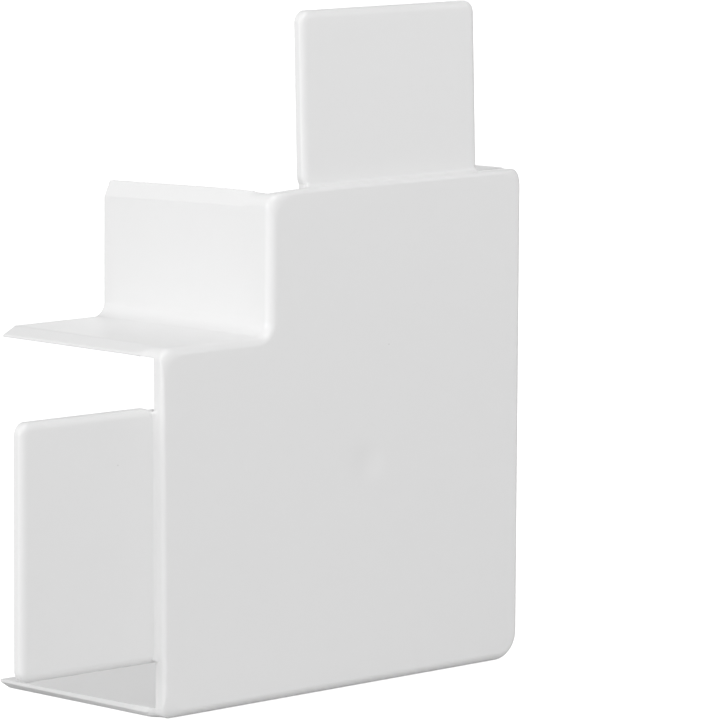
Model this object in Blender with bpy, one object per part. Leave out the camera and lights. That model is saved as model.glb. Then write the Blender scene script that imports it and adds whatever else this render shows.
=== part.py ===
"""Flat angle cover for plastic cable trunking.

One moulded hood turns the trunking through a right angle on the wall. A lower arm opens to -X and an
upper arm opens to +Z, the back is open, and a tongue stands out of each mouth to go under the
trunking's lid. +Z is up, the front plate faces -Y, and the origin is the middle of the underside.
"""

import math

import bmesh
import bpy
from mathutils import Matrix, Vector

MM = 0.001

# The trunking that the cover fits
TRUNKING_WIDTH = 59.0 * MM
TRUNKING_DEPTH = 38.6 * MM
FIT_CLEARANCE = 0.2 * MM

# Walls of the hood
SIDE_WALL = 1.8 * MM
FRONT_WALL = 2.3 * MM
ARM_REACH = 24.6 * MM
OUTER_CORNER_RADIUS = 5.0 * MM
NOTCH_RADIUS = 2.5 * MM
FRONT_FILLET = 1.6 * MM
INSIDE_FILLET = 0.8 * MM

# The two mouths: round at the front plate, tapered to a thin lip along the side walls
MOUTH_CORNER_RADIUS = 2.3 * MM
FACE_CORNER_RADIUS = 4.2 * MM
MOUTH_FILLET = 0.8 * MM
LIP_THICKNESS = 0.6 * MM
TAPER_LENGTH = 2.5 * MM
TAPER_START = 3.4 * MM
TAPER_FULL = 7.5 * MM
MOUTH_RAKE = 1.0 * MM

# The two tongues
TONGUE_WIDTH = 42.4 * MM
TONGUE_REACH = 30.0 * MM
TONGUE_THICKNESS = 2.0 * MM
TONGUE_STEP = 2.05 * MM
TONGUE_LEAN = math.radians(1.8)
TONGUE_CORNER_RADIUS = 2.2 * MM
TONGUE_FRONT_EDGE = 0.8 * MM
TONGUE_BACK_EDGE = 0.3 * MM
NECK_INSET = 0.75 * MM
NECK_RADIUS = 0.3 * MM
SHOULDER_RADIUS = 2.2 * MM
SHOULDER_PLACE = 1.8 * MM
ROOT_LENGTH = 5.0 * MM
ROOT_FILLET = 0.7 * MM
ROOT_FILLET_TURN = math.radians(50.0)
ROOT_FILLET_NECK_SHARE = 0.6
FILLET_SINK = 0.03 * MM

# The stub that the moulding gate leaves inside the front plate
GATE_RADIUS = 1.5 * MM
GATE_HEIGHT = 0.4 * MM
GATE_FROM_OUTER_WALLS = 39.9 * MM

# How finely curves are divided, and how far joined shapes run into each other
CORNER_STEPS = 9
FILLET_STEPS = 5
BLEND_STEPS = 4
EDGE_STEPS = 3
GATE_SIDES = 32
SHOULDER_STEPS = 6
OVERLAP = 0.4 * MM
CUT_MARGIN = 5.0 * MM
WELD_DISTANCE = 0.01 * MM

# Sizes that follow from those above
ARM_WIDTH = TRUNKING_WIDTH + 2 * (FIT_CLEARANCE + SIDE_WALL)
DEPTH = TRUNKING_DEPTH + FIT_CLEARANCE + FRONT_WALL
LEG = ARM_WIDTH + ARM_REACH
TAPER_INSET = SIDE_WALL - LIP_THICKNESS

WHITE = (0.86, 0.86, 0.86, 1.0)
ROUGHNESS = 0.38


def clear_scene():
    """Removes every object that the scene holds."""
    for obj in list(bpy.data.objects):
        bpy.data.objects.remove(obj, do_unlink=True)


def new_collection(name):
    """Makes a collection in the scene."""
    collection = bpy.data.collections.new(name)
    bpy.context.scene.collection.children.link(collection)
    return collection


def white_plastic():
    """Semi-gloss white moulded plastic."""
    material = bpy.data.materials.new("white_plastic")
    material.use_nodes = True
    shader = material.node_tree.nodes["Principled BSDF"]
    shader.inputs["Base Color"].default_value = WHITE
    shader.inputs["Roughness"].default_value = ROUGHNESS
    shader.inputs["Metallic"].default_value = 0.0
    return material


def hood_place():
    """Moves the hood's lower front mouth corner so that the underside's middle is the origin."""
    return Matrix.Translation((-LEG / 2, -DEPTH / 2, 0.0))


def right_turn(into, out):
    """-1 where a counter-clockwise polygon turns right, at a concave corner, and 1 elsewhere."""
    return 1.0 if into.x * out.y - into.y * out.x > 0 else -1.0


def corner_arc(corner, into, out, radius, steps):
    """Points of an arc that rounds a right-angled corner of a polygon.

    The polygon runs counter-clockwise, and into and out are the directions of its sides at the corner.
    """
    centre = corner + (out - into) * radius
    points = []
    for step in range(steps + 1):
        angle = math.pi / 2 * step / steps
        points.append(centre + (into * math.sin(angle) - out * math.cos(angle)) * radius)
    return points


def corner_taper(corner, into, out, before, after, steps):
    """Points of a straight taper from before the corner to after it."""
    start = corner - into * before
    end = corner + out * after
    return [start.lerp(end, step / steps) for step in range(steps + 1)]


def hood_corners(setback):
    """The outline's corners, counter-clockwise as seen from the front, with each mouth set back.

    Each entry is the corner, the radius of its round, and whether the mouth comes before it, after
    it or not at all.
    """
    notch = LEG - ARM_WIDTH
    top = LEG - setback
    return [
        (Vector((setback, 0.0)), MOUTH_CORNER_RADIUS, "before"),
        (Vector((LEG, 0.0)), OUTER_CORNER_RADIUS, None),
        (Vector((LEG, top)), MOUTH_CORNER_RADIUS, "after"),
        (Vector((notch, top)), MOUTH_CORNER_RADIUS, "before"),
        (Vector((notch, ARM_WIDTH)), NOTCH_RADIUS, None),
        (Vector((setback, ARM_WIDTH)), MOUTH_CORNER_RADIUS, "after"),
    ]


def hood_outline(setback, taper, level):
    """The hood's outline at one depth: a list of point and front fillet radius.

    taper runs from 0, where the mouths' corners are round, to 1, where they are straight tapers.
    level runs from 1 at the front face to 0 where the front fillet ends. Each side is moved in by
    its fillet's radius times the level, and a mouth's corner widens to the flat face's corner.
    """
    corners = hood_corners(setback)
    outline = []
    for index, (corner, radius, mouth) in enumerate(corners):
        previous = corners[index - 1][0]
        following = corners[(index + 1) % len(corners)][0]
        into = (corner - previous).normalized()
        out = (following - corner).normalized()
        turn = right_turn(into, out)
        fillet_in = MOUTH_FILLET if mouth == "before" else FRONT_FILLET
        fillet_out = MOUTH_FILLET if mouth == "after" else FRONT_FILLET
        moved = corner + (out * fillet_in - into * fillet_out) * turn * level
        if mouth:
            widened = radius + (FACE_CORNER_RADIUS - radius) * level
        else:
            widened = radius - FRONT_FILLET * turn * level
        points = corner_arc(moved, into, out, widened, CORNER_STEPS)
        if mouth:
            before = TAPER_INSET if mouth == "before" else TAPER_LENGTH
            after = TAPER_INSET if mouth == "after" else TAPER_LENGTH
            tapered = corner_taper(corner, into, out, before, after, CORNER_STEPS)
            points = [a.lerp(b, taper) for a, b in zip(points, tapered)]
        for step, point in enumerate(points):
            share = step / CORNER_STEPS
            outline.append((point, fillet_in + (fillet_out - fillet_in) * share))
    return outline


def fillet_section(angle):
    """A section of the hood through its front fillet, at an angle from the front face."""
    outline = hood_outline(0.0, 0.0, 1 - math.sin(angle))
    return [Vector((point.x, fillet * (1 - math.cos(angle)), point.y)) for point, fillet in outline]


def wall_section(depth):
    """A section of the hood behind its front fillet, square to the depth."""
    share = min(max((depth - TAPER_START) / (TAPER_FULL - TAPER_START), 0.0), 1.0)
    taper = share * share * (3 - 2 * share)
    outline = hood_outline(MOUTH_RAKE * depth / DEPTH, taper, 0.0)
    return [Vector((point.x, depth, point.y)) for point, fillet in outline]


def loft(name, sections, collection):
    """A closed solid through sections that all have the same number of points."""
    shape = bmesh.new()
    rings = [[shape.verts.new(point) for point in section] for section in sections]
    for ring, following in zip(rings, rings[1:]):
        for index in range(len(ring)):
            shape.faces.new((ring[index - 1], ring[index], following[index], following[index - 1]))
    shape.faces.new(rings[0])
    shape.faces.new(rings[-1])
    bmesh.ops.recalc_face_normals(shape, faces=shape.faces[:])
    mesh = bpy.data.meshes.new(name)
    shape.to_mesh(mesh)
    shape.free()
    obj = bpy.data.objects.new(name, mesh)
    obj.matrix_world = hood_place()
    collection.objects.link(obj)
    return obj


def slab(name, outline, thickness, rounding, collection):
    """A flat outline made solid from z = 0 to its thickness, with both rims rounded."""
    curve = bpy.data.curves.new(name, "CURVE")
    curve.dimensions = "2D"
    curve.fill_mode = "BOTH"
    curve.extrude = thickness / 2 - rounding
    curve.bevel_depth = rounding
    curve.offset = -rounding
    curve.bevel_resolution = EDGE_STEPS
    spline = curve.splines.new("POLY")
    spline.points.add(len(outline) - 1)
    for target, point in zip(spline.points, outline):
        target.co = (point.x, point.y, 0.0, 1.0)
    spline.use_cyclic_u = True
    source = bpy.data.objects.new(name, curve)
    collection.objects.link(source)
    depsgraph = bpy.context.evaluated_depsgraph_get()
    mesh = bpy.data.meshes.new_from_object(source.evaluated_get(depsgraph))
    bpy.data.objects.remove(source, do_unlink=True)
    shape = bmesh.new()
    shape.from_mesh(mesh)
    bmesh.ops.remove_doubles(shape, verts=shape.verts[:], dist=WELD_DISTANCE)
    bmesh.ops.translate(shape, verts=shape.verts[:], vec=(0.0, 0.0, thickness / 2))
    bmesh.ops.recalc_face_normals(shape, faces=shape.faces[:])
    shape.to_mesh(mesh)
    shape.free()
    mesh.name = name
    obj = bpy.data.objects.new(name, mesh)
    collection.objects.link(obj)
    return obj


def round_outline(corners, steps):
    """A closed outline from right-angled corners, each a point and the radius of its round."""
    outline = []
    for index, (corner, radius) in enumerate(corners):
        if radius == 0.0:
            outline.append(corner)
            continue
        into = (corner - corners[index - 1][0]).normalized()
        out = (corners[(index + 1) % len(corners)][0] - corner).normalized()
        outline += corner_arc(corner, into, out, radius, steps)
    return outline


def make_hood(collection):
    """The outside of the hood as a solid block."""
    angles = [math.pi / 2 * step / FILLET_STEPS for step in range(FILLET_STEPS + 1)]
    sections = [fillet_section(angle) for angle in angles]
    blend = TAPER_FULL - TAPER_START
    depths = [TAPER_START + blend * step / BLEND_STEPS for step in range(BLEND_STEPS + 1)]
    sections += [wall_section(depth) for depth in depths + [DEPTH]]
    return loft("flat_angle_cover", sections, collection)


def make_channel(collection):
    """The space inside the hood, open at the back and through both mouths."""
    past = -CUT_MARGIN
    top = LEG + CUT_MARGIN
    near = LEG - ARM_WIDTH + SIDE_WALL
    far = LEG - SIDE_WALL
    corners = [
        (Vector((past, SIDE_WALL)), 0.0),
        (Vector((far, SIDE_WALL)), OUTER_CORNER_RADIUS - SIDE_WALL),
        (Vector((far, top)), 0.0),
        (Vector((near, top)), 0.0),
        (Vector((near, ARM_WIDTH - SIDE_WALL)), NOTCH_RADIUS + SIDE_WALL),
        (Vector((past, ARM_WIDTH - SIDE_WALL)), 0.0),
    ]
    length = DEPTH - FRONT_WALL + CUT_MARGIN
    outline = round_outline(corners, CORNER_STEPS)
    channel = slab("channel_cutter", outline, length, INSIDE_FILLET, collection)
    upright = Matrix.Rotation(math.pi / 2, 4, "X")
    back = Matrix.Translation((0.0, FRONT_WALL + length, 0.0))
    channel.matrix_world = hood_place() @ back @ upright
    return channel


def tongue_outline():
    """A tongue's outline along +X with its root behind x = 0: a list of point and outward normal.

    Towards the notch, at +Y, the root is narrower: a hollow and a rounded shoulder bring it to full
    width. The other side is straight, and the free corners are round.
    """
    half = TONGUE_WIDTH / 2
    meet = math.acos(1 - NECK_INSET / (SHOULDER_RADIUS + NECK_RADIUS))
    turns = [meet * step / SHOULDER_STEPS for step in range(SHOULDER_STEPS + 1)]
    rays = [Vector((-math.sin(turn), math.cos(turn))) for turn in turns]
    hollow_x = SHOULDER_PLACE - (SHOULDER_RADIUS + NECK_RADIUS) * math.sin(meet)
    hollow = Vector((hollow_x, half - NECK_INSET + NECK_RADIUS))
    shoulder = Vector((SHOULDER_PLACE, half - SHOULDER_RADIUS))
    outline = [(Vector((-ROOT_LENGTH, half - NECK_INSET)), rays[0])]
    outline += [(hollow - ray * NECK_RADIUS, ray) for ray in rays]
    outline += [(shoulder + ray * SHOULDER_RADIUS, ray) for ray in reversed(rays[:-1])]
    for side in (1.0, -1.0):
        centre = Vector((TONGUE_REACH - TONGUE_CORNER_RADIUS, side * (half - TONGUE_CORNER_RADIUS)))
        for step in range(CORNER_STEPS + 1):
            share = step / CORNER_STEPS
            angle = math.pi / 2 * (1 - share if side > 0 else share)
            ray = Vector((math.cos(angle), side * math.sin(angle)))
            outline.append((centre + ray * TONGUE_CORNER_RADIUS, ray))
    outline.append((Vector((-ROOT_LENGTH, -half)), Vector((0.0, -1.0))))
    return outline


def tongue_sections(frame):
    """Sections of a tongue from its front face to its back, with both rims rounded."""
    angles = [math.pi / 2 * step / EDGE_STEPS for step in range(EDGE_STEPS + 1)]
    rims = [(TONGUE_FRONT_EDGE, angle, 0.0) for angle in angles]
    rims += [(TONGUE_BACK_EDGE, angle, TONGUE_THICKNESS) for angle in reversed(angles)]
    sections = []
    for radius, angle, face in rims:
        inset = radius * (1 - math.sin(angle))
        level = abs(face - radius * (1 - math.cos(angle)))
        flat = [point - ray * inset for point, ray in tongue_outline()]
        sections.append([frame @ Vector((point.x, point.y, level)) for point in flat])
    return sections


def root_fillet_sections(frame):
    """Sections of the hollow fillet between a tongue's face and the end of the front plate.

    The fillet runs across the tongue's face and turns part of the way round its front rims, where it
    dies away.
    """
    half = TONGUE_WIDTH / 2 - TONGUE_FRONT_EDGE
    turns = [ROOT_FILLET_TURN * step / EDGE_STEPS for step in range(EDGE_STEPS + 1)]
    path = [(-turn, -half) for turn in reversed(turns)]
    path += [(turn, half - NECK_INSET * ROOT_FILLET_NECK_SHARE) for turn in turns]
    sections = []
    for turn, middle in path:
        radius = ROOT_FILLET * math.cos(turn)
        profile = []
        for step in range(FILLET_STEPS + 1):
            angle = math.pi / 2 * step / FILLET_STEPS
            along = radius * (1 - math.sin(angle)) - FILLET_SINK
            out = radius * (1 - math.cos(angle)) - FILLET_SINK
            profile.append((along, out))
        profile += [(-OVERLAP, profile[-1][1]), (-OVERLAP, -OVERLAP), (profile[0][0], -OVERLAP)]
        section = []
        for along, out in profile:
            reach = TONGUE_FRONT_EDGE + out
            across = middle + reach * math.sin(turn)
            section.append(frame @ Vector((along, across, TONGUE_FRONT_EDGE - reach * math.cos(turn))))
        sections.append(section)
    return sections


def tongue_frame(root, outward, across):
    """A frame with X along a tongue, Y across it towards the notch and Z into its thickness."""
    back = Vector((0.0, 1.0, 0.0))
    along = outward * math.cos(TONGUE_LEAN) + back * math.sin(TONGUE_LEAN)
    through = back * math.cos(TONGUE_LEAN) - outward * math.sin(TONGUE_LEAN)
    return Matrix.Translation(root) @ Matrix((along, across, through)).transposed().to_4x4()


def make_tongues(collection):
    """The lower arm's tongue and the upper arm's, each with the fillet at its root."""
    up = Vector((0.0, 0.0, 1.0))
    left = Vector((-1.0, 0.0, 0.0))
    lower_root = Vector((0.0, TONGUE_STEP, ARM_WIDTH / 2))
    upper_root = Vector((LEG - ARM_WIDTH / 2, TONGUE_STEP, LEG))
    made = []
    for name, frame in (
        ("lower_tongue", tongue_frame(lower_root, left, up)),
        ("upper_tongue", tongue_frame(upper_root, up, left)),
    ):
        made.append(loft(name, tongue_sections(frame), collection))
        made.append(loft(name + "_fillet", root_fillet_sections(frame), collection))
    return made


def make_gate(collection):
    """The gate's stub on the inside of the front plate."""
    shape = bmesh.new()
    height = GATE_HEIGHT + OVERLAP
    bmesh.ops.create_cone(shape, cap_ends=True, segments=GATE_SIDES, radius1=GATE_RADIUS,
                          radius2=GATE_RADIUS, depth=height)
    mesh = bpy.data.meshes.new("gate_stub")
    shape.to_mesh(mesh)
    shape.free()
    gate = bpy.data.objects.new("gate_stub", mesh)
    collection.objects.link(gate)
    middle = Vector((LEG - GATE_FROM_OUTER_WALLS, FRONT_WALL - OVERLAP + height / 2, GATE_FROM_OUTER_WALLS))
    gate.matrix_world = hood_place() @ Matrix.Translation(middle) @ Matrix.Rotation(math.pi / 2, 4, "X")
    return gate


def add_boolean(target, tool, operation):
    """Cuts a tool out of the target or joins it on, and hides the tool."""
    modifier = target.modifiers.new(tool.name, "BOOLEAN")
    modifier.operation = operation
    modifier.solver = "EXACT"
    modifier.object = tool
    tool.hide_render = True
    tool.display_type = "WIRE"


def main():
    clear_scene()
    parts = new_collection("flat_angle")
    cutters = new_collection("flat_angle_cutters")
    hood = make_hood(parts)
    add_boolean(hood, make_channel(cutters), "DIFFERENCE")
    for tool in make_tongues(cutters):
        add_boolean(hood, tool, "UNION")
    add_boolean(hood, make_gate(cutters), "UNION")
    weld = hood.modifiers.new("weld", "WELD")
    weld.merge_threshold = WELD_DISTANCE
    hood.data.materials.append(white_plastic())


main()
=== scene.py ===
"""Looks of a flat angle cover for plastic cable trunking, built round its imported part.

The cover is one moulded piece, so it is one mesh here too. Its surfaces are worked out in
millimetres in the hood's own frame: x along the front plate from the lower mouth, y back from the
plate's face, z up from the underside. They go into the part's frame, in metres, at the end.
"""

import math

import bmesh
import bpy
import numpy as np
from bpy.props import FloatProperty, FloatVectorProperty, PointerProperty
from mathutils import Matrix, Vector


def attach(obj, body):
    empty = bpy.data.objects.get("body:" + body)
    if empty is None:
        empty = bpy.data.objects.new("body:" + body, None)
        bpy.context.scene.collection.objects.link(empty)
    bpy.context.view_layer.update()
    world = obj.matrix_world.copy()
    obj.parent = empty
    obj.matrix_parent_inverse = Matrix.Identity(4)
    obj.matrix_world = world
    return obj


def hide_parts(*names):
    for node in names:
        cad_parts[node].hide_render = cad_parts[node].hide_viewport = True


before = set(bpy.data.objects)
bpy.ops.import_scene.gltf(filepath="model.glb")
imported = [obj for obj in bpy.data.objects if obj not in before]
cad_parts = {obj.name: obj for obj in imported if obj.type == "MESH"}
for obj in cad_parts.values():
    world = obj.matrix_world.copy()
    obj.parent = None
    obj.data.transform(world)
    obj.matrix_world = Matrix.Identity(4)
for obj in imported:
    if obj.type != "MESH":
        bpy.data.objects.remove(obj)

bl_info = {
    "name": "Trunking Flat Angle",
    "version": (1, 0, 0),
    "blender": (4, 5, 0),
    "location": "3D Viewport > Sidebar > Flat Angle",
    "description": "Builds a moulded flat angle cover for cable trunking and its studio",
    "category": "Object",
}

NODE = "flat_angle_cover"
SLOT = "white_plastic"
MM = 0.001

# How finely each kind of curve is divided
CORNER_STEPS = 16
MOUTH_STEPS = 14
FILLET_STEPS = 8
INNER_STEPS = 5
BLEND_ROWS = 16
LINE_STEPS = 40
REAR_ROWS = 6
RIM_STEPS = 5
SHOULDER_STEPS = 10
SIDE_STEPS = 16
STUB_SIDES = 48
ROOT_HALVINGS = 40

# Distances in millimetres
WELD = 0.002  # points closer than this are merged
LINE_MARGIN = 0.02  # from the round corners to where the plate's end is straight
MOUTH_REGION = (3.0, 10.0)  # how far a mouth's warp reaches outwards and inwards
OVERLAP = 0.4  # how far joined shapes run into each other
EDGE_ROOM = 0.25  # what the inner faces leave free for the edge break
FILLET_SINK = 0.03  # how far a fillet's edges sink into the faces beside it

# How far the root fillet turns at its ends, and the share of the neck that it keeps clear of
FILLET_TURN = math.radians(35.0)
FILLET_NECK_SHARE = 0.6

# The edge break's least angle and its steps, and how far flat faces rule the shading
CREASE_ANGLE = math.radians(32.0)
EDGE_STEPS = 2
FLAT_WEIGHT = 100

# Painted shade and a painted highlight for the shallow sink mark at the gate, and the plastic's dust specks:
# places in the hood's own millimetres, radii in metres, strengths from 0 to 1
GATE_SHADE = {"place": (46.7, 0.0, 40.3), "radius": 0.005, "strength": 0.045}
GATE_PAINTED_HIGHLIGHT = {"place": (50.3, 0.0, 38.1), "radius": 0.0045, "strength": 0.15}
SPECK_PLACES = ((53.6, 0.0, 59.2), (-8.75, 2.3, 44.0))
SPECK_RADIUS = 0.0002
SPECK_STRENGTH = 0.5
SHADE_AND_SPECK_DARKNESS = 0.45

# The plastic's refraction, and its grain: height in metres and detail of its two noises
PLASTIC_IOR = 1.5
GRAIN_DEPTH = 0.0001
FINE_DETAIL = 2.0
BROAD_DETAIL = 3.0

WHITE = (1.0, 1.0, 1.0, 1.0)

# The camera: azimuth, elevation and roll in degrees, the point of the hood that it looks at in
# millimetres, its distance in metres, and its focal length in pixels of a square picture
CAMERA_ANGLES = (-45.839, 7.214, 0.3356)
CAMERA_TARGET = (67.031, 20.0, 53.431)
CAMERA_DISTANCE = 1.0357
FOCAL_PIXELS = 5845.0
PICTURE_PIXELS = 720.0
SENSOR_WIDTH = 36.0
CLIP_START = 0.01
CLIP_END = 50.0

# The floor and the point that every soft light faces, in metres
FLOOR_HALF = 6.0
FLOOR_DROP = 0.0001
FLOOR_GREY = (0.66, 0.66, 0.66, 1.0)
FLOOR_ROUGHNESS = 0.9
LIGHT_AIM = (0.0, 0.0, 0.05)

# Place and width of each soft light, in metres
SOFT_LIGHTS = {
    "left_light": ((-1.7, 0.0, 0.45), 1.0),
    "near_front_light": ((-0.1, -0.7, 0.8), 0.6),
    "right_front_light": ((1.2, -1.2, 0.45), 1.0),
    "back_light": ((-0.1, 1.7, 0.45), 1.0),
    "back_right_light": ((1.25, 1.2, 0.3), 0.8),
}


def millimetres(name, description, value):
    """A length property in millimetres."""
    return FloatProperty(name=name, description=description, default=value, min=0.0, unit="NONE")


class HoodSizes(bpy.types.PropertyGroup):
    """The hood's sizes in millimetres."""

    arm_width: millimetres("Arm Width", "Outer width of each arm, mm", 63.0)
    leg: millimetres("Leg", "Length of each arm along the hood's outer side, mm", 87.6)
    depth: millimetres("Depth", "From the front plate's face to the wall, mm", 41.1)
    side_wall: millimetres("Side Wall", "Thickness of the side walls, mm", 1.8)
    front_wall: millimetres("Front Wall", "Thickness of the front plate, mm", 2.3)
    corner: millimetres("Outer Corner", "Radius of the hood's outer corner, mm", 5.0)
    notch: millimetres("Notch Corner", "Radius of the hollow corner between the arms, mm", 2.5)
    front_fillet: millimetres("Front Fillet", "Radius round the front plate, mm", 1.6)
    inside_fillet: millimetres("Inside Fillet", "Radius between the plate and the walls, mm", 0.3)
    mouth_corner: millimetres("Mouth Corner", "Radius of the plate's corners at the mouths, mm", 2.3)
    face_corner: millimetres("Face Corner", "Radius of the flat face's corners at the mouths, mm", 4.6)
    mouth_lean: millimetres("Mouth Lean", "How far the lower mouth leans out in front at its top, mm", 0.78)
    rear_lean: millimetres("Rear Lean", "How far the lower mouth leans out behind at its top, mm", 0.15)
    outer_reach: millimetres("Outer Reach", "How far the outer walls reach past both mouths behind, mm",
                             0.95)
    sink: millimetres("Sink", "How far the upper mouth sinks at the notch wall's front corner, mm", 0.8)
    sink_reach: millimetres("Sink Reach", "Distance over which the sink falls to a third, mm", 5.0)
    mouth_fillet: millimetres("Mouth Fillet", "Radius along the plate's edge at the mouths, mm", 0.8)
    lip: millimetres("Lip", "Thickness that the inner walls taper to at the mouths, mm", 0.45)
    taper: millimetres("Taper", "Length of the taper on the inner walls, mm", 2.8)
    outer_lip: millimetres("Outer Lip", "Thickness that the outer walls taper to behind the plate, mm", 0.95)
    outer_taper: millimetres("Outer Taper", "Length of the outer walls' taper behind the plate, mm", 0.9)
    rear_lip: millimetres("Rear Lip", "Thickness that the outer walls taper to at the rear rim, mm", 0.5)
    rear_taper: millimetres("Rear Taper", "Length of the outer walls' taper at the rear rim, mm", 2.1)
    taper_start: millimetres("Taper Start", "Depth at which the inner walls' taper begins to form, mm", 3.4)
    taper_full: millimetres("Taper Full", "Depth at which the inner walls' taper is fully formed, mm", 7.5)
    outer_start: millimetres("Outer Start", "Depth at which the outer walls' taper begins to form, mm", 2.6)
    outer_full: millimetres("Outer Full", "Depth at which the outer walls' taper is fully formed, mm", 4.6)
    rake: millimetres("Rake", "How far the mouths draw back from front to rear, mm", 1.0)
    edge: millimetres("Edge Break", "Width of the small round on every sharp edge, mm", 0.1)


class TongueSizes(bpy.types.PropertyGroup):
    """The sizes of the tongues and of the gate's stub in millimetres."""

    width: millimetres("Width", "Width of each tongue, mm", 43.3)
    shift: millimetres("Shift", "How far each tongue lies off its arm's middle, away from the notch, mm",
                       0.25)
    reach: millimetres("Reach", "How far each tongue stands out of its mouth, mm", 30.0)
    thickness: millimetres("Thickness", "Thickness of each tongue, mm", 2.0)
    step: millimetres("Step", "From the front plate's face back to the tongue's face, mm", 2.05)
    lean: FloatProperty(name="Lean", description="Angle that each tongue leans back by",
                        default=math.radians(1.8), unit="ROTATION")
    corner: millimetres("Corner", "Radius of the free corners, mm", 2.2)
    edge: millimetres("Edge", "Depth of the round on the edges of the front face, mm", 0.8)
    edge_run: millimetres("Edge Run", "How far that round runs in across the front face, mm", 1.5)
    back_edge: millimetres("Back Edge", "Radius of the edges round the back face, mm", 0.3)
    neck_inset: millimetres("Neck Inset", "How much narrower the root is on the side of the notch, mm", 0.45)
    neck: millimetres("Neck", "Radius of the hollow where the root begins to widen, mm", 0.6)
    shoulder: millimetres("Shoulder", "Radius of the shoulder where the root reaches full width, mm", 3.2)
    shoulder_place: millimetres("Shoulder Place", "From the plate's end to the full width, mm", 2.1)
    root: millimetres("Root", "How far each tongue runs back behind the plate, mm", 5.0)
    root_fillet: millimetres("Root Fillet", "Radius between the tongue and the plate's end, mm", 0.7)
    stub_radius: millimetres("Stub Radius", "Radius of the gate's stub inside the plate, mm", 1.5)
    stub_height: millimetres("Stub Height", "Height of the gate's stub, mm", 0.4)
    stub_place: millimetres("Stub Place", "From the outer walls to the gate, mm", 39.9)


class PlasticLook(bpy.types.PropertyGroup):
    """The white plastic."""

    colour: FloatVectorProperty(name="Colour", description="Colour of the plastic", subtype="COLOR",
                                size=3, default=(0.86, 0.86, 0.86), min=0.0, max=1.0)
    roughness: FloatProperty(name="Roughness", description="Roughness of the plastic's surface",
                             default=0.36, min=0.0, max=1.0, subtype="FACTOR")
    grain: FloatProperty(name="Grain", description="Strength of the satin grain",
                         default=0.05, min=0.0, max=1.0, subtype="FACTOR")


def power(name, description, value):
    """A light's power in watts."""
    return FloatProperty(name=name, description=description, default=value, min=0.0, unit="POWER")


class StudioLook(bpy.types.PropertyGroup):
    """The studio's soft light and floor."""

    surround: FloatProperty(name="Surround", description="Brightness of the light all round",
                            default=0.37, min=0.0)
    left_light: power("Left Light", "Power of the main soft light, on the left", 15.8)
    near_front_light: power("Near Front Light", "Power of the nearer soft light above the front", 4.15)
    right_front_light: power("Right Front Light", "Power of the soft light in front on the right", 3.3)
    back_light: power("Back Light", "Power of the soft light behind", 4.4)
    back_right_light: power("Back Right Light", "Power of the low soft light behind on the right", 1.8)
    backdrop: FloatProperty(name="Backdrop", default=1.0, min=0.0,
                            description="Brightness of the backdrop as the camera sees it")
    floor_lift: FloatProperty(name="Floor Lift", default=0.9, min=0.0,
                              description="Brightness added to the floor as the camera sees it")


def smooth_share(value, low, high):
    """0 below low, 1 above high, and 3s^2 - 2s^3 of the share s between them."""
    share = np.clip((value - low) / (high - low), 0.0, 1.0)
    return share * share * (3.0 - 2.0 * share)


def mouth_edge(share, taper, end):
    """Distance from the mouth and inset from the wall's face along the edge where a wall ends.

    share runs from 0 at the mouth to 1 on the wall. The round edge is a quarter circle of radius r:
    (r - r cos a, r - r sin a) with a = 90 degrees x share. The tapered edge is a straight line from
    the lip to the wall's face. taper mixes the two. end holds r and the taper's length and rise, the
    last two for each row.
    """
    angle = share * math.pi / 2
    radius, length, rise = end
    round_d = radius * (1.0 - np.cos(angle))
    round_h = radius * (1.0 - np.sin(angle))
    line_d = length * share
    line_h = rise * (1.0 - share)
    return round_d + (line_d - round_d) * taper, round_h + (line_h - round_h) * taper


def edge_share_at(inset, taper, end):
    """The share at which the wall's end edge reaches an inset, by halving, or 0 on the flat lip."""
    low = np.zeros_like(inset)
    high = np.ones_like(inset)
    for _ in range(ROOT_HALVINGS):
        middle = (low + high) / 2
        too_deep = mouth_edge(middle, taper, end)[1] > inset
        low = np.where(too_deep, middle, low)
        high = np.where(too_deep, high, middle)
    on_lip = mouth_edge(np.zeros_like(inset), taper, end)[1] <= inset
    return np.where(on_lip, 0.0, low)


def mouth_columns(depth, inset, end, span):
    """Rows of (distance from the mouth, inset) from the wall's inner face round to its outer face.

    The first column lies on the inner face, the second where the lip ends, and the rest follow the
    edge to the wall's outer face. span holds the depths between which the taper forms.
    """
    taper = smooth_share(depth, *span)
    start = edge_share_at(inset, taper, end)
    steps = np.linspace(0.0, 1.0, MOUTH_STEPS + 1)
    share = start[:, None] + (1.0 - start[:, None]) * steps[None, :]
    radius, length, rise = end
    d, h = mouth_edge(share, taper[:, None], (radius, length[:, None], rise[:, None]))
    corner_d = np.where(start > 0.0, d[:, 0], 0.0)
    d = np.concatenate([corner_d[:, None], d], axis=1)
    h = np.concatenate([inset[:, None], h], axis=1)
    return d, h


class Strip:
    """A side of the hood: a leg away from one mouth, a round corner and a leg to the other mouth."""

    def __init__(self, start, corner, end, radius, turn):
        self.start = np.array(start)
        self.end = np.array(end)
        corner = np.array(corner)
        self.along = (corner - self.start) / np.linalg.norm(corner - self.start)
        self.onward = (self.end - corner) / np.linalg.norm(self.end - corner)
        self.face = np.array([self.along[1], -self.along[0]])
        self.next_face = np.array([self.onward[1], -self.onward[0]])
        self.centre = corner + (self.onward - self.along) * radius
        self.radius = radius
        self.turn = turn

    def place(self, d, h, back, arc_inset):
        """Plan points of columns at distance d and inset h from both mouths, and of the corner.

        The corner's points lie on a quarter circle whose radius is the corner's less the inset, or
        more where the corner is hollow.
        """
        d = d + back[:, None]
        first = self.start + d[..., None] * self.along - h[..., None] * self.face
        last = self.end - d[..., None] * self.onward - h[..., None] * self.next_face
        angle = np.linspace(0.0, math.pi / 2, CORNER_STEPS + 1)
        ray = np.cos(angle)[:, None] * self.face + np.sin(angle)[:, None] * self.next_face
        size = self.turn * self.radius - arc_inset
        arc = self.centre + size[:, None, None] * ray[None]
        return np.concatenate([first, arc, last[:, ::-1]], axis=1)


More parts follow.
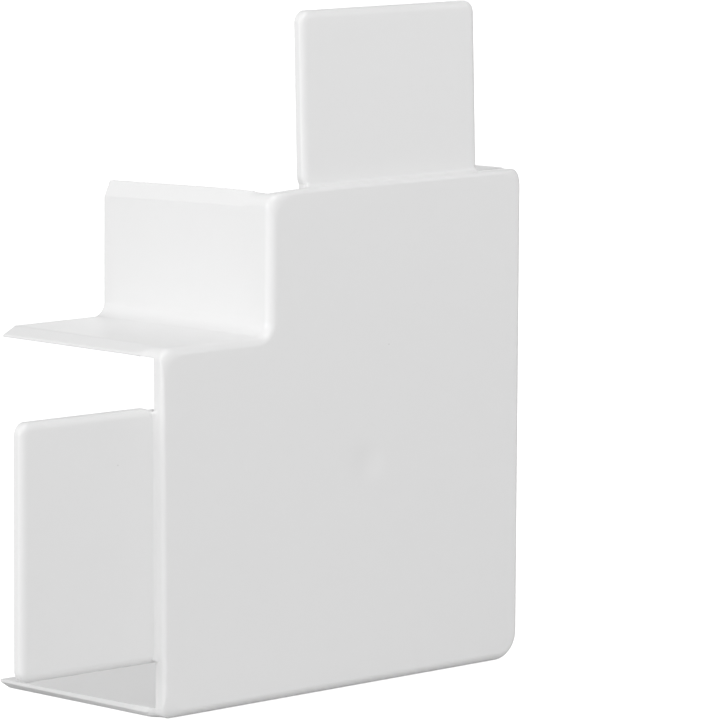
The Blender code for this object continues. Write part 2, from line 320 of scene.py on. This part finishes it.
def with_depth(plan, depth):
    """Points (x, depth, z) from plan points (x, z) and a depth for each point or row."""
    depth = np.broadcast_to(depth if depth.ndim == 2 else depth[:, None], plan.shape[:2])
    return np.stack([plan[..., 0], depth, plan[..., 1]], axis=-1)


class Surface:
    """A mesh put together from grids and flat faces."""

    def __init__(self):
        self.points = []
        self.faces = []
        self.count = 0

    def add(self, grid):
        """Adds a grid of points and gives back the grid of their numbers."""
        shape = grid.shape[:-1]
        numbers = np.arange(self.count, self.count + int(np.prod(shape))).reshape(shape)
        self.points.append(grid.reshape(-1, 3))
        self.count += numbers.size
        return numbers

    def skin(self, numbers, closed=False):
        """Four-sided faces between neighbouring rows and columns of a grid of numbers."""
        if closed:
            numbers = np.concatenate([numbers, numbers[:, :1]], axis=1)
        quads = np.stack([numbers[:-1, :-1], numbers[:-1, 1:], numbers[1:, 1:], numbers[1:, :-1]], axis=-1)
        self.faces += quads.reshape(-1, 4).tolist()

    def flat(self, numbers):
        """One flat face round a loop of numbers."""
        self.faces.append(list(numbers))

    def mesh(self, name):
        """The welded mesh in the part's frame, in metres, with its faces outwards.

        The mouths are a little warped. u is the share from an outer wall to an inner one and v the
        share of the depth. At the lower mouth x shrinks by (1 - v) u lean + v ((1 - u) outer + u rear).
        At the upper one z grows by v (1 - u) outer and shrinks by the sink times e^(-r / reach), where
        r is the distance from the notch wall's front corner.
        """
        s = bpy.context.scene.flat_angle_hood
        points = np.concatenate(self.points)
        x, y, z = points.T
        at_low = (x > -MOUTH_REGION[0]) & (x < MOUTH_REGION[1])
        at_high = (s.leg - z > -MOUTH_REGION[0]) & (s.leg - z < MOUTH_REGION[1])
        corner_gap = np.hypot(x - s.leg + s.arm_width, y)
        v = np.clip(y / s.depth, 0.0, 1.0)
        u = np.clip(z / s.arm_width, 0.0, 1.0)
        low = (1.0 - v) * u * s.mouth_lean + v * ((1.0 - u) * s.outer_reach + u * s.rear_lean)
        u = np.clip((s.leg - x) / s.arm_width, 0.0, 1.0)
        high = s.sink * np.exp(-corner_gap / s.sink_reach) - v * (1.0 - u) * s.outer_reach
        shift = np.stack([at_low * low, np.zeros_like(y), at_high * high], axis=1)
        points = points - shift
        points -= np.array([s.leg / 2, s.depth / 2, 0.0])
        mesh = bpy.data.meshes.new(name)
        mesh.from_pydata((points * MM).tolist(), [], self.faces)
        shape = bmesh.new()
        shape.from_mesh(mesh)
        bmesh.ops.remove_doubles(shape, verts=shape.verts[:], dist=WELD * MM)
        bmesh.ops.recalc_face_normals(shape, faces=shape.faces[:])
        shape.to_mesh(mesh)
        shape.free()
        return mesh


def hood_rows(span, s):
    """Depth, inset and set-back of the rows behind the fillets.

    They run through the inside fillet, the span in which the taper forms and on to the rear rim.
    """
    angle = np.linspace(0.0, math.pi / 2, INNER_STEPS + 1)
    near = s.front_wall + s.inside_fillet * (1.0 - np.cos(angle))
    near_inset = s.side_wall + s.inside_fillet * (1.0 - np.sin(angle))
    blend = np.linspace(*span, BLEND_ROWS + 1)
    rear = np.linspace(0.0, 1.0, REAR_ROWS + 1)[1:] ** 2
    depth = np.concatenate([near, blend, span[1] + (s.depth - span[1]) * rear])
    inset = np.concatenate([near_inset, np.full(len(depth) - len(near), s.side_wall)])
    return depth, inset, s.rake * depth / s.depth


def line_start(s):
    """How far from a wall's outer face the plate's end is straight at every depth."""
    return s.front_fillet + s.face_corner + LINE_MARGIN


def front_columns(angle, s):
    """Distance from the mouth, inset and depth of its columns through the front fillet, by angle a.

    With the fillet's radius m at the mouth and f on the wall, the edge moves in by m - m sin a from
    the mouth and by f - f sin a from the wall's face. Its depth is r - r cos a, where r goes from m
    to f along the round corner. The corner's own radius goes from the flat face's to the mouth's.
    """
    level = (1.0 - np.sin(angle))[:, None]
    share = np.linspace(0.0, 1.0, MOUTH_STEPS + 1)
    share = np.concatenate([share[:1], share])[None]
    radius = s.mouth_corner + (s.face_corner - s.mouth_corner) * level
    d = s.mouth_fillet * level + radius * (1.0 - np.cos(share * math.pi / 2))
    h = s.front_fillet * level + radius * (1.0 - np.sin(share * math.pi / 2))
    h[:, 0] = line_start(s)
    fillet = s.mouth_fillet + (s.front_fillet - s.mouth_fillet) * share
    return d, h, fillet * (1.0 - np.cos(angle))[:, None]


def hood_mesh(s):
    """The hood: an outer skin, an inner skin and the rims between them.

    The outer skin carries the outline back through the front fillet, the plate's thickness and the
    blend into the tapers. The inner skin is the outline moved in by the wall's thickness.
    """
    notch = s.leg - s.arm_width
    outer_side = Strip((0.0, 0.0), (s.leg, 0.0), (s.leg, s.leg), s.corner, 1.0)
    inner_side = Strip((notch, s.leg), (notch, s.arm_width), (0.0, s.arm_width), s.notch, -1.0)
    angle = np.linspace(0.0, math.pi / 2, FILLET_STEPS + 1)
    surface = Surface()
    skins = []
    outer_tapers = (s.outer_taper, s.rear_taper)
    outer_lips = (s.outer_lip, s.rear_lip)
    sides = (
        (outer_side, (s.outer_start, s.outer_full), outer_tapers, outer_lips),
        (inner_side, (s.taper_start, s.taper_full), (s.taper, s.taper), (s.lip, s.lip)),
    )
    for strip, span, tapers, lips in sides:
        depth, inset, back = hood_rows(span, s)
        length = np.interp(depth, (span[1], s.depth), tapers)
        lip = np.interp(depth, (span[1], s.depth), lips)
        end = (s.mouth_corner, length, s.side_wall - lip)
        d, h, rows = front_columns(angle, s)
        arc_inset = s.front_fillet * (1.0 - np.sin(angle))
        plan = strip.place(d, h, np.zeros(len(angle)), arc_inset)
        arc_rows = np.repeat((s.front_fillet * (1.0 - np.cos(angle)))[:, None], CORNER_STEPS + 1, axis=1)
        front = with_depth(plan, np.concatenate([rows, arc_rows, rows[:, ::-1]], axis=1))
        d, h = mouth_columns(depth, inset, end, span)
        outer = with_depth(strip.place(d, h, back, np.zeros(len(depth))), depth)
        d = np.where(d - d[:, :1] < EDGE_ROOM, d[:, :1], d)
        h = np.repeat(inset[:, None], d.shape[1], axis=1)
        inner = with_depth(strip.place(d, h, back, inset), depth)
        skins.append((surface.add(np.concatenate([front, outer])), surface.add(inner)))
    # The plate's end: its fillet's rows and the row of its back face, where both sides' rows begin
    closed = len(angle) + 1
    row_depth = np.concatenate([s.mouth_fillet * (1.0 - np.cos(angle)), depth[:1]])
    row_back = np.concatenate([s.mouth_fillet * (1.0 - np.sin(angle)), back[:1]])
    across = np.linspace(line_start(s), s.arm_width - line_start(s), LINE_STEPS + 1)
    row_depth, row_back = row_depth[:, None], row_back[:, None]
    low_line = np.broadcast_arrays(row_back, row_depth, across[None, ::-1])
    high_line = np.broadcast_arrays(s.leg - across[None], row_depth, s.leg - row_back)
    low_line = surface.add(np.stack(low_line, axis=-1))
    high_line = surface.add(np.stack(high_line, axis=-1))
    (side, side_in), (nook, nook_in) = skins
    surface.skin(np.concatenate([side[:closed], high_line, nook[:closed], low_line], axis=1), closed=True)
    surface.flat(np.concatenate([side[0], high_line[0], nook[0], low_line[0]]))
    surface.flat(np.concatenate([side_in[0], high_line[-1], nook_in[0], low_line[-1]]))
    for outer, inner in skins:
        surface.skin(outer[closed - 1:])
        surface.skin(inner)
        surface.skin(np.stack([outer[-1], inner[-1]]))
    return surface.mesh("hood")


def tongue_outline(t):
    """A tongue's outline with its outward normals, from the root's notch side round the free end.

    The notch side runs in at the root along a hollow of radius n and a shoulder of radius s, which
    meet where the normal has turned by the angle whose cosine is 1 - inset / (s + n). The other side
    is straight, and the free corners are quarter circles.
    """
    half = t.width / 2
    meet = math.acos(1.0 - t.neck_inset / (t.shoulder + t.neck))
    turn = np.linspace(0.0, meet, SHOULDER_STEPS + 1)
    ray = np.stack([-np.sin(turn), np.cos(turn)], axis=1)
    hollow_x = t.shoulder_place - (t.shoulder + t.neck) * math.sin(meet)
    hollow = np.array([hollow_x, half - t.neck_inset + t.neck]) - t.neck * ray
    shoulder = np.array([t.shoulder_place, half - t.shoulder]) + t.shoulder * ray[::-1]
    angle = np.linspace(math.pi / 2, 0.0, CORNER_STEPS + 1)
    corner_ray = np.stack([np.cos(angle), np.sin(angle)], axis=1)
    corner = np.array([t.reach - t.corner, half - t.corner]) + t.corner * corner_ray
    flip = np.array([1.0, -1.0])
    notch_side = np.linspace(shoulder[-1], corner[0], SIDE_STEPS + 1)[1:-1]
    far_side = np.linspace(corner[0] * flip, [-t.root, -half], SIDE_STEPS + 1)[1:]
    points = np.concatenate([[[-t.root, half - t.neck_inset]], hollow, shoulder[1:], notch_side, corner,
                             corner[::-1] * flip, far_side])
    notch_ray = np.tile([0.0, 1.0], (len(notch_side), 1))
    far_ray = np.tile([0.0, -1.0], (len(far_side), 1))
    out = np.concatenate([[[0.0, 1.0]], ray, ray[-2::-1], notch_ray, corner_ray,
                          corner_ray[::-1] * flip, far_ray])
    return points, out


def tongue_local(t):
    """A tongue lying along x, y across it towards the notch and z into its thickness.

    Its outline is carried through the thickness. At each level it is moved in, by w - w sin a at depth
    e - e cos a in front, and by r - r sin a at r - r cos a behind, so that the front rim is a quarter
    ellipse and the back rim a quarter circle.
    """
    outline, out = tongue_outline(t)
    angle = np.linspace(0.0, math.pi / 2, RIM_STEPS + 1)
    inset = np.concatenate([t.edge_run * (1.0 - np.sin(angle)), t.back_edge * (1.0 - np.sin(angle[::-1]))])
    level = np.concatenate([t.edge * (1.0 - np.cos(angle)),
                            t.thickness - t.back_edge * (1.0 - np.cos(angle[::-1]))])
    plan = outline[None] - out[None] * inset[:, None, None]
    return np.concatenate([plan, np.broadcast_to(level[:, None, None], plan.shape[:2] + (1,))], axis=2)


def root_fillet_local(t):
    """The hollow fillet at a tongue's root: a quarter circle carried across the tongue's face.

    Its path turns with the rims at both ends by an angle b, and its radius there is r cos b.
    """
    turn = np.linspace(0.0, FILLET_TURN, RIM_STEPS + 1)
    turns = np.concatenate([-turn[::-1], [0.0], turn])
    low = t.edge - t.width / 2
    high = t.width / 2 - t.edge - t.neck_inset * FILLET_NECK_SHARE
    middle = np.concatenate([np.full(len(turn), low), [(low + high) / 2], np.full(len(turn), high)])
    radius = t.root_fillet * np.cos(turns)
    angle = np.linspace(0.0, math.pi / 2, FILLET_STEPS + 1)
    along = radius[:, None] * (1.0 - np.sin(angle)) - FILLET_SINK
    out = radius[:, None] * (1.0 - np.cos(angle)) - FILLET_SINK
    deep = np.full((len(turns), 1), -OVERLAP)
    along = np.concatenate([along, deep, deep, along[:, :1]], axis=1)
    out = np.concatenate([out, out[:, -1:], deep, deep], axis=1)
    y = middle[:, None] + (t.edge + out) * np.sin(turns)[:, None]
    z = t.edge - (t.edge + out) * np.cos(turns)[:, None]
    return np.stack([along, y, z], axis=-1)


def tongue_places(s, t):
    """Root, direction out of the mouth and direction towards the notch of each tongue."""
    half = s.arm_width / 2 - t.shift
    left, up = np.array([-1.0, 0.0, 0.0]), np.array([0.0, 0.0, 1.0])
    return {
        "lower_tongue": (np.array([0.0, t.step, half]), left, up),
        "upper_tongue": (np.array([s.leg - half, t.step, s.leg]), up, left),
    }


def placed(local, lean, root, outward, across):
    """Local points carried to a root and leant back from the outward direction."""
    back = np.array([0.0, 1.0, 0.0])
    along = outward * math.cos(lean) + back * math.sin(lean)
    through = back * math.cos(lean) - outward * math.sin(lean)
    return root + local @ np.stack([along, across, through])


def prism(surface, grid):
    """Adds a closed body: rows of a grid as rings, with a flat face on the first and the last."""
    numbers = surface.add(grid)
    surface.skin(numbers, closed=True)
    surface.flat(numbers[0])
    surface.flat(numbers[-1])


def stub_grid(s, t):
    """The gate's stub: a low disc with a rounded rim, a profile turned round an axis along y."""
    angle = np.linspace(0.0, math.pi / 2, RIM_STEPS + 1)
    rim = t.stub_height / 2
    radius = np.concatenate([[t.stub_radius], t.stub_radius - rim * (1.0 - np.cos(angle))])
    height = np.concatenate([[-OVERLAP], rim + rim * np.sin(angle)])
    turn = np.linspace(0.0, 2 * math.pi, STUB_SIDES, endpoint=False)
    x = s.leg - t.stub_place + radius[:, None] * np.cos(turn)
    z = t.stub_place + radius[:, None] * np.sin(turn)
    y = np.broadcast_to((s.front_wall + height)[:, None], x.shape)
    return np.stack([x, y, z], axis=-1)


def new_group(name, inputs, outputs):
    """A shader node group with named sockets, its first node and its last."""
    group = bpy.data.node_groups.new(name, "ShaderNodeTree")
    for label, kind, value in inputs:
        socket = group.interface.new_socket(name=label, in_out="INPUT", socket_type=kind)
        if value is not None:
            socket.default_value = value
    for label, kind in outputs:
        group.interface.new_socket(name=label, in_out="OUTPUT", socket_type=kind)
    return group, group.nodes.new("NodeGroupInput"), group.nodes.new("NodeGroupOutput")


def math_node(tree, operation, first, second=None, clamp=False):
    """A Math node on sockets or numbers, and its result."""
    node = tree.nodes.new("ShaderNodeMath")
    node.operation = operation
    node.use_clamp = clamp
    for socket, value in zip(node.inputs, (first, second)):
        if value is None:
            continue
        if isinstance(value, (int, float)):
            socket.default_value = value
        else:
            tree.links.new(value, socket)
    return node.outputs[0]


def grain_group():
    """Fine satin grain: two sizes of noise mixed into one height."""
    group, source, sink = new_group(
        "satin_grain",
        [("Vector", "NodeSocketVector", None), ("Fine Scale", "NodeSocketFloat", 5200.0),
         ("Broad Scale", "NodeSocketFloat", 900.0), ("Broad Share", "NodeSocketFloat", 0.35)],
        [("Height", "NodeSocketFloat")])
    fine = group.nodes.new("ShaderNodeTexNoise")
    fine.inputs["Detail"].default_value = FINE_DETAIL
    broad = group.nodes.new("ShaderNodeTexNoise")
    broad.inputs["Detail"].default_value = BROAD_DETAIL
    for node, scale in ((fine, "Fine Scale"), (broad, "Broad Scale")):
        group.links.new(source.outputs["Vector"], node.inputs["Vector"])
        group.links.new(source.outputs[scale], node.inputs["Scale"])
    mix = group.nodes.new("ShaderNodeMix")
    group.links.new(source.outputs["Broad Share"], mix.inputs["Factor"])
    group.links.new(fine.outputs["Fac"], mix.inputs["A"])
    group.links.new(broad.outputs["Fac"], mix.inputs["B"])
    group.links.new(mix.outputs["Result"], sink.inputs["Height"])
    return group


def spot_group():
    """A soft round spot: 1 at its centre, 0 past its radius, in an eased fall."""
    group, source, sink = new_group(
        "soft_spot",
        [("Vector", "NodeSocketVector", None), ("Centre", "NodeSocketVector", None),
         ("Radius", "NodeSocketFloat", 0.001)],
        [("Mask", "NodeSocketFloat")])
    gap = group.nodes.new("ShaderNodeVectorMath")
    gap.operation = "DISTANCE"
    group.links.new(source.outputs["Vector"], gap.inputs[0])
    group.links.new(source.outputs["Centre"], gap.inputs[1])
    share = math_node(group, "DIVIDE", gap.outputs["Value"], source.outputs["Radius"])
    ease = group.nodes.new("ShaderNodeMapRange")
    ease.interpolation_type = "SMOOTHSTEP"
    ease.inputs["From Min"].default_value = 0.0
    ease.inputs["From Max"].default_value = 1.0
    ease.inputs["To Min"].default_value = 1.0
    ease.inputs["To Max"].default_value = 0.0
    group.links.new(share, ease.inputs["Value"])
    group.links.new(ease.outputs["Result"], sink.inputs["Mask"])
    return group


def place_group(tree, group, values, vector):
    """Places a group in a material with its own values."""
    node = tree.nodes.new("ShaderNodeGroup")
    node.node_tree = group
    tree.links.new(vector, node.inputs["Vector"])
    for label, value in values.items():
        node.inputs[label].default_value = value
    return node


def part_point(x, y, z):
    """A point of the hood's own frame, in millimetres, as one of the part's frame in metres."""
    s = bpy.context.scene.flat_angle_hood
    return ((x - s.leg / 2) * MM, (y - s.depth / 2) * MM, z * MM)


def spot_mask(tree, group, place, radius, vector):
    """A soft spot at a place of the hood, and its mask."""
    node = place_group(tree, group, {"Centre": part_point(*place), "Radius": radius}, vector)
    return node.outputs["Mask"]


def white_plastic(look):
    """Semi-gloss white plastic with satin grain, painted shade and a painted highlight for the sink mark at
    the gate, and two specks.
    """
    material = bpy.data.materials.new(SLOT)
    material.use_nodes = True
    tree = material.node_tree
    shader = tree.nodes["Principled BSDF"]
    shader.inputs["Metallic"].default_value = 0.0
    shader.inputs["IOR"].default_value = PLASTIC_IOR
    coords = tree.nodes.new("ShaderNodeTexCoord").outputs["Object"]
    grain = place_group(tree, grain_group(), {}, coords)
    bump = tree.nodes.new("ShaderNodeBump")
    bump.inputs["Strength"].default_value = look.grain
    bump.inputs["Distance"].default_value = GRAIN_DEPTH
    tree.links.new(grain.outputs["Height"], bump.inputs["Height"])
    tree.links.new(bump.outputs["Normal"], shader.inputs["Normal"])
    spot = spot_group()
    # Painted shade on the left slope of the shallow sink mark at the gate, and a painted highlight on its
    # right slope, where the light from the left falls
    painted_sink_shade, painted_sink_highlight = (spot_mask(tree, spot, mark["place"], mark["radius"], coords)
                   for mark in (GATE_SHADE, GATE_PAINTED_HIGHLIGHT))
    specks = math_node(tree, "MAXIMUM", *(spot_mask(tree, spot, place, SPECK_RADIUS, coords)
                                          for place in SPECK_PLACES))
    shade = math_node(tree, "MULTIPLY", painted_sink_shade, GATE_SHADE["strength"])
    specks = math_node(tree, "MULTIPLY", specks, SPECK_STRENGTH)
    shade = math_node(tree, "MAXIMUM", shade, specks, clamp=True)
    # Darkens the colour by the painted shade of the sink mark and by the dust specks
    shade_and_speck_tint = tree.nodes.new("ShaderNodeMix")
    shade_and_speck_tint.data_type = "RGBA"
    shade_and_speck_tint.inputs["A"].default_value = (*look.colour, 1.0)
    shade_and_speck_tint.inputs["B"].default_value = (*(SHADE_AND_SPECK_DARKNESS * c for c in look.colour), 1.0)
    tree.links.new(shade, shade_and_speck_tint.inputs["Factor"])
    # Lightens the colour towards white by the painted highlight on the sink mark's right slope
    lift = tree.nodes.new("ShaderNodeMix")
    lift.data_type = "RGBA"
    tree.links.new(math_node(tree, "MULTIPLY", painted_sink_highlight, GATE_PAINTED_HIGHLIGHT["strength"]), lift.inputs["Factor"])
    tree.links.new(shade_and_speck_tint.outputs["Result"], lift.inputs["A"])
    lift.inputs["B"].default_value = WHITE
    tree.links.new(lift.outputs["Result"], shader.inputs["Base Color"])
    shader.inputs["Roughness"].default_value = look.roughness
    return material


def new_object(name, mesh):
    """An object at the origin that holds a mesh."""
    obj = bpy.data.objects.new(name, mesh)
    bpy.context.scene.collection.objects.link(obj)
    return obj


def freeze(obj):
    """Puts what an object's modifiers make into its own mesh."""
    depsgraph = bpy.context.evaluated_depsgraph_get()
    mesh = bpy.data.meshes.new_from_object(obj.evaluated_get(depsgraph))
    obj.modifiers.clear()
    obj.data = mesh


def union(obj, tool):
    """Joins a closed tool to an object and removes the tool."""
    modifier = obj.modifiers.new(tool.name, "BOOLEAN")
    modifier.operation = "UNION"
    modifier.solver = "EXACT"
    modifier.object = tool
    freeze(obj)
    bpy.data.objects.remove(tool, do_unlink=True)


class FLATANGLE_OT_cover(bpy.types.Operator):
    """Build the cover: the hood, its tongues and the gate's stub, as one moulded piece"""

    bl_idname = "flatangle.cover"
    bl_label = "Build Cover"

    def execute(self, context):
        s = context.scene.flat_angle_hood
        t = context.scene.flat_angle_tongues
        cover = new_object("moulded_cover", hood_mesh(s))
        bevel = cover.modifiers.new("edge_break", "BEVEL")
        bevel.width = s.edge * MM
        bevel.segments = EDGE_STEPS
        bevel.limit_method = "ANGLE"
        bevel.angle_limit = CREASE_ANGLE
        bevel.use_clamp_overlap = False
        freeze(cover)
        for name, place in tongue_places(s, t).items():
            for label, local in (("", tongue_local(t)), ("_fillet", root_fillet_local(t))):
                surface = Surface()
                prism(surface, placed(local, t.lean, *place))
                union(cover, new_object(name + label, surface.mesh(name + label)))
        surface = Surface()
        prism(surface, stub_grid(s, t))
        union(cover, new_object("gate_stub", surface.mesh("gate_stub")))
        cover.data.name = cover.name
        cover.data.materials.clear()
        cover.data.materials.append(white_plastic(context.scene.flat_angle_plastic))
        cover.data.shade_smooth()
        normals = cover.modifiers.new("flat_faces_stay_flat", "WEIGHTED_NORMAL")
        normals.mode = "FACE_AREA"
        normals.weight = FLAT_WEIGHT
        normals.keep_sharp = True
        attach(cover, "root")
        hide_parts(NODE)
        return {"FINISHED"}


def studio_camera(context):
    """The camera where the photograph was taken from: low, from the front left, with a long lens."""
    azimuth, elevation, roll = (math.radians(angle) for angle in CAMERA_ANGLES)
    back = Vector((math.sin(azimuth) * math.cos(elevation), -math.cos(azimuth) * math.cos(elevation),
                   math.sin(elevation)))
    level = Vector((0.0, 0.0, 1.0)).cross(back).normalized()
    upright = back.cross(level)
    right = level * math.cos(roll) + upright * math.sin(roll)
    up = upright * math.cos(roll) - level * math.sin(roll)
    data = bpy.data.cameras.new("studio_camera")
    data.sensor_width = SENSOR_WIDTH
    data.lens = FOCAL_PIXELS / PICTURE_PIXELS * data.sensor_width
    data.clip_start = CLIP_START
    data.clip_end = CLIP_END
    camera = bpy.data.objects.new("studio_camera", data)
    context.scene.collection.objects.link(camera)
    target = Vector(part_point(*CAMERA_TARGET))
    matrix = Matrix((right, up, back)).transposed().to_4x4()
    matrix.translation = target + back * CAMERA_DISTANCE
    camera.matrix_world = matrix
    context.scene.camera = camera


def soft_light(context, name, place, size, power):
    """A square soft light that faces the object."""
    data = bpy.data.lights.new(name, "AREA")
    data.shape = "SQUARE"
    data.size = size
    data.energy = power
    light = bpy.data.objects.new(name, data)
    context.scene.collection.objects.link(light)
    place = Vector(place)
    light.location = place
    light.rotation_mode = "QUATERNION"
    light.rotation_quaternion = (place - Vector(LIGHT_AIM)).to_track_quat("Z", "Y")


class FLATANGLE_OT_studio(bpy.types.Operator):
    """Set up the floor, the soft lights and the camera"""

    bl_idname = "flatangle.studio"
    bl_label = "Build Studio"

    def execute(self, context):
        look = context.scene.flat_angle_studio
        world = bpy.data.worlds.new("studio")
        context.scene.world = world
        world.use_nodes = True
        tree = world.node_tree
        tree.nodes.clear()
        out = tree.nodes.new("ShaderNodeOutputWorld")
        seen = tree.nodes.new("ShaderNodeBackground")
        seen.inputs["Strength"].default_value = look.backdrop
        seen.inputs["Color"].default_value = WHITE
        light = tree.nodes.new("ShaderNodeBackground")
        light.inputs["Strength"].default_value = look.surround
        light.inputs["Color"].default_value = WHITE
        path = tree.nodes.new("ShaderNodeLightPath")
        mix = tree.nodes.new("ShaderNodeMixShader")
        tree.links.new(path.outputs["Is Camera Ray"], mix.inputs["Fac"])
        tree.links.new(light.outputs[0], mix.inputs[1])
        tree.links.new(seen.outputs[0], mix.inputs[2])
        tree.links.new(mix.outputs[0], out.inputs["Surface"])
        floor_mesh = bpy.data.meshes.new("floor")
        half = FLOOR_HALF
        floor_mesh.from_pydata([(-half, -half, 0), (half, -half, 0), (half, half, 0), (-half, half, 0)], [],
                               [(0, 1, 2, 3)])
        floor = new_object("floor", floor_mesh)
        floor.location.z = -FLOOR_DROP
        paper = bpy.data.materials.new("pale_floor")
        paper.use_nodes = True
        tree = paper.node_tree
        shader = tree.nodes["Principled BSDF"]
        shader.inputs["Base Color"].default_value = FLOOR_GREY
        shader.inputs["Roughness"].default_value = FLOOR_ROUGHNESS
        shader.inputs["Emission Color"].default_value = WHITE
        path = tree.nodes.new("ShaderNodeLightPath")
        lift = math_node(tree, "MULTIPLY", path.outputs["Is Camera Ray"], look.floor_lift)
        tree.links.new(lift, shader.inputs["Emission Strength"])
        floor_mesh.materials.append(paper)
        for name, (place, size) in SOFT_LIGHTS.items():
            soft_light(context, name, place, size, getattr(look, name))
        context.scene.view_settings.view_transform = "Standard"
        studio_camera(context)
        return {"FINISHED"}


class FLATANGLE_PT_panel(bpy.types.Panel):
    """The flat angle's sizes, looks and build buttons"""

    bl_idname = "FLATANGLE_PT_panel"
    bl_label = "Flat Angle"
    bl_space_type = "VIEW_3D"
    bl_region_type = "UI"
    bl_category = "Flat Angle"

    def draw(self, context):
        layout = self.layout
        for title, operator, groups in BUILD:
            box = layout.box()
            box.label(text=title)
            for group in groups:
                settings = getattr(context.scene, group)
                for name in settings.bl_rna.properties.keys():
                    if name not in ("rna_type", "name"):
                        box.prop(settings, name)
            box.operator(operator)


GROUPS = {
    "flat_angle_hood": HoodSizes,
    "flat_angle_tongues": TongueSizes,
    "flat_angle_plastic": PlasticLook,
    "flat_angle_studio": StudioLook,
}

BUILD = (
    ("Cover", "flatangle.cover", ("flat_angle_hood", "flat_angle_tongues", "flat_angle_plastic")),
    ("Studio", "flatangle.studio", ("flat_angle_studio",)),
)

CLASSES = (*GROUPS.values(), FLATANGLE_OT_cover, FLATANGLE_OT_studio, FLATANGLE_PT_panel)


def register():
    """Registers the classes and puts the settings on the scene."""
    for cls in CLASSES:
        bpy.utils.register_class(cls)
    for name, group in GROUPS.items():
        setattr(bpy.types.Scene, name, PointerProperty(type=group))


def unregister():
    """Takes the settings off the scene and the classes back."""
    for name in GROUPS:
        delattr(bpy.types.Scene, name)
    for cls in reversed(CLASSES):
        bpy.utils.unregister_class(cls)


def main():
    """Builds everything."""
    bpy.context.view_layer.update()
    register()
    bpy.ops.flatangle.cover()
    bpy.ops.flatangle.studio()


if __name__ == "__main__":
    main()
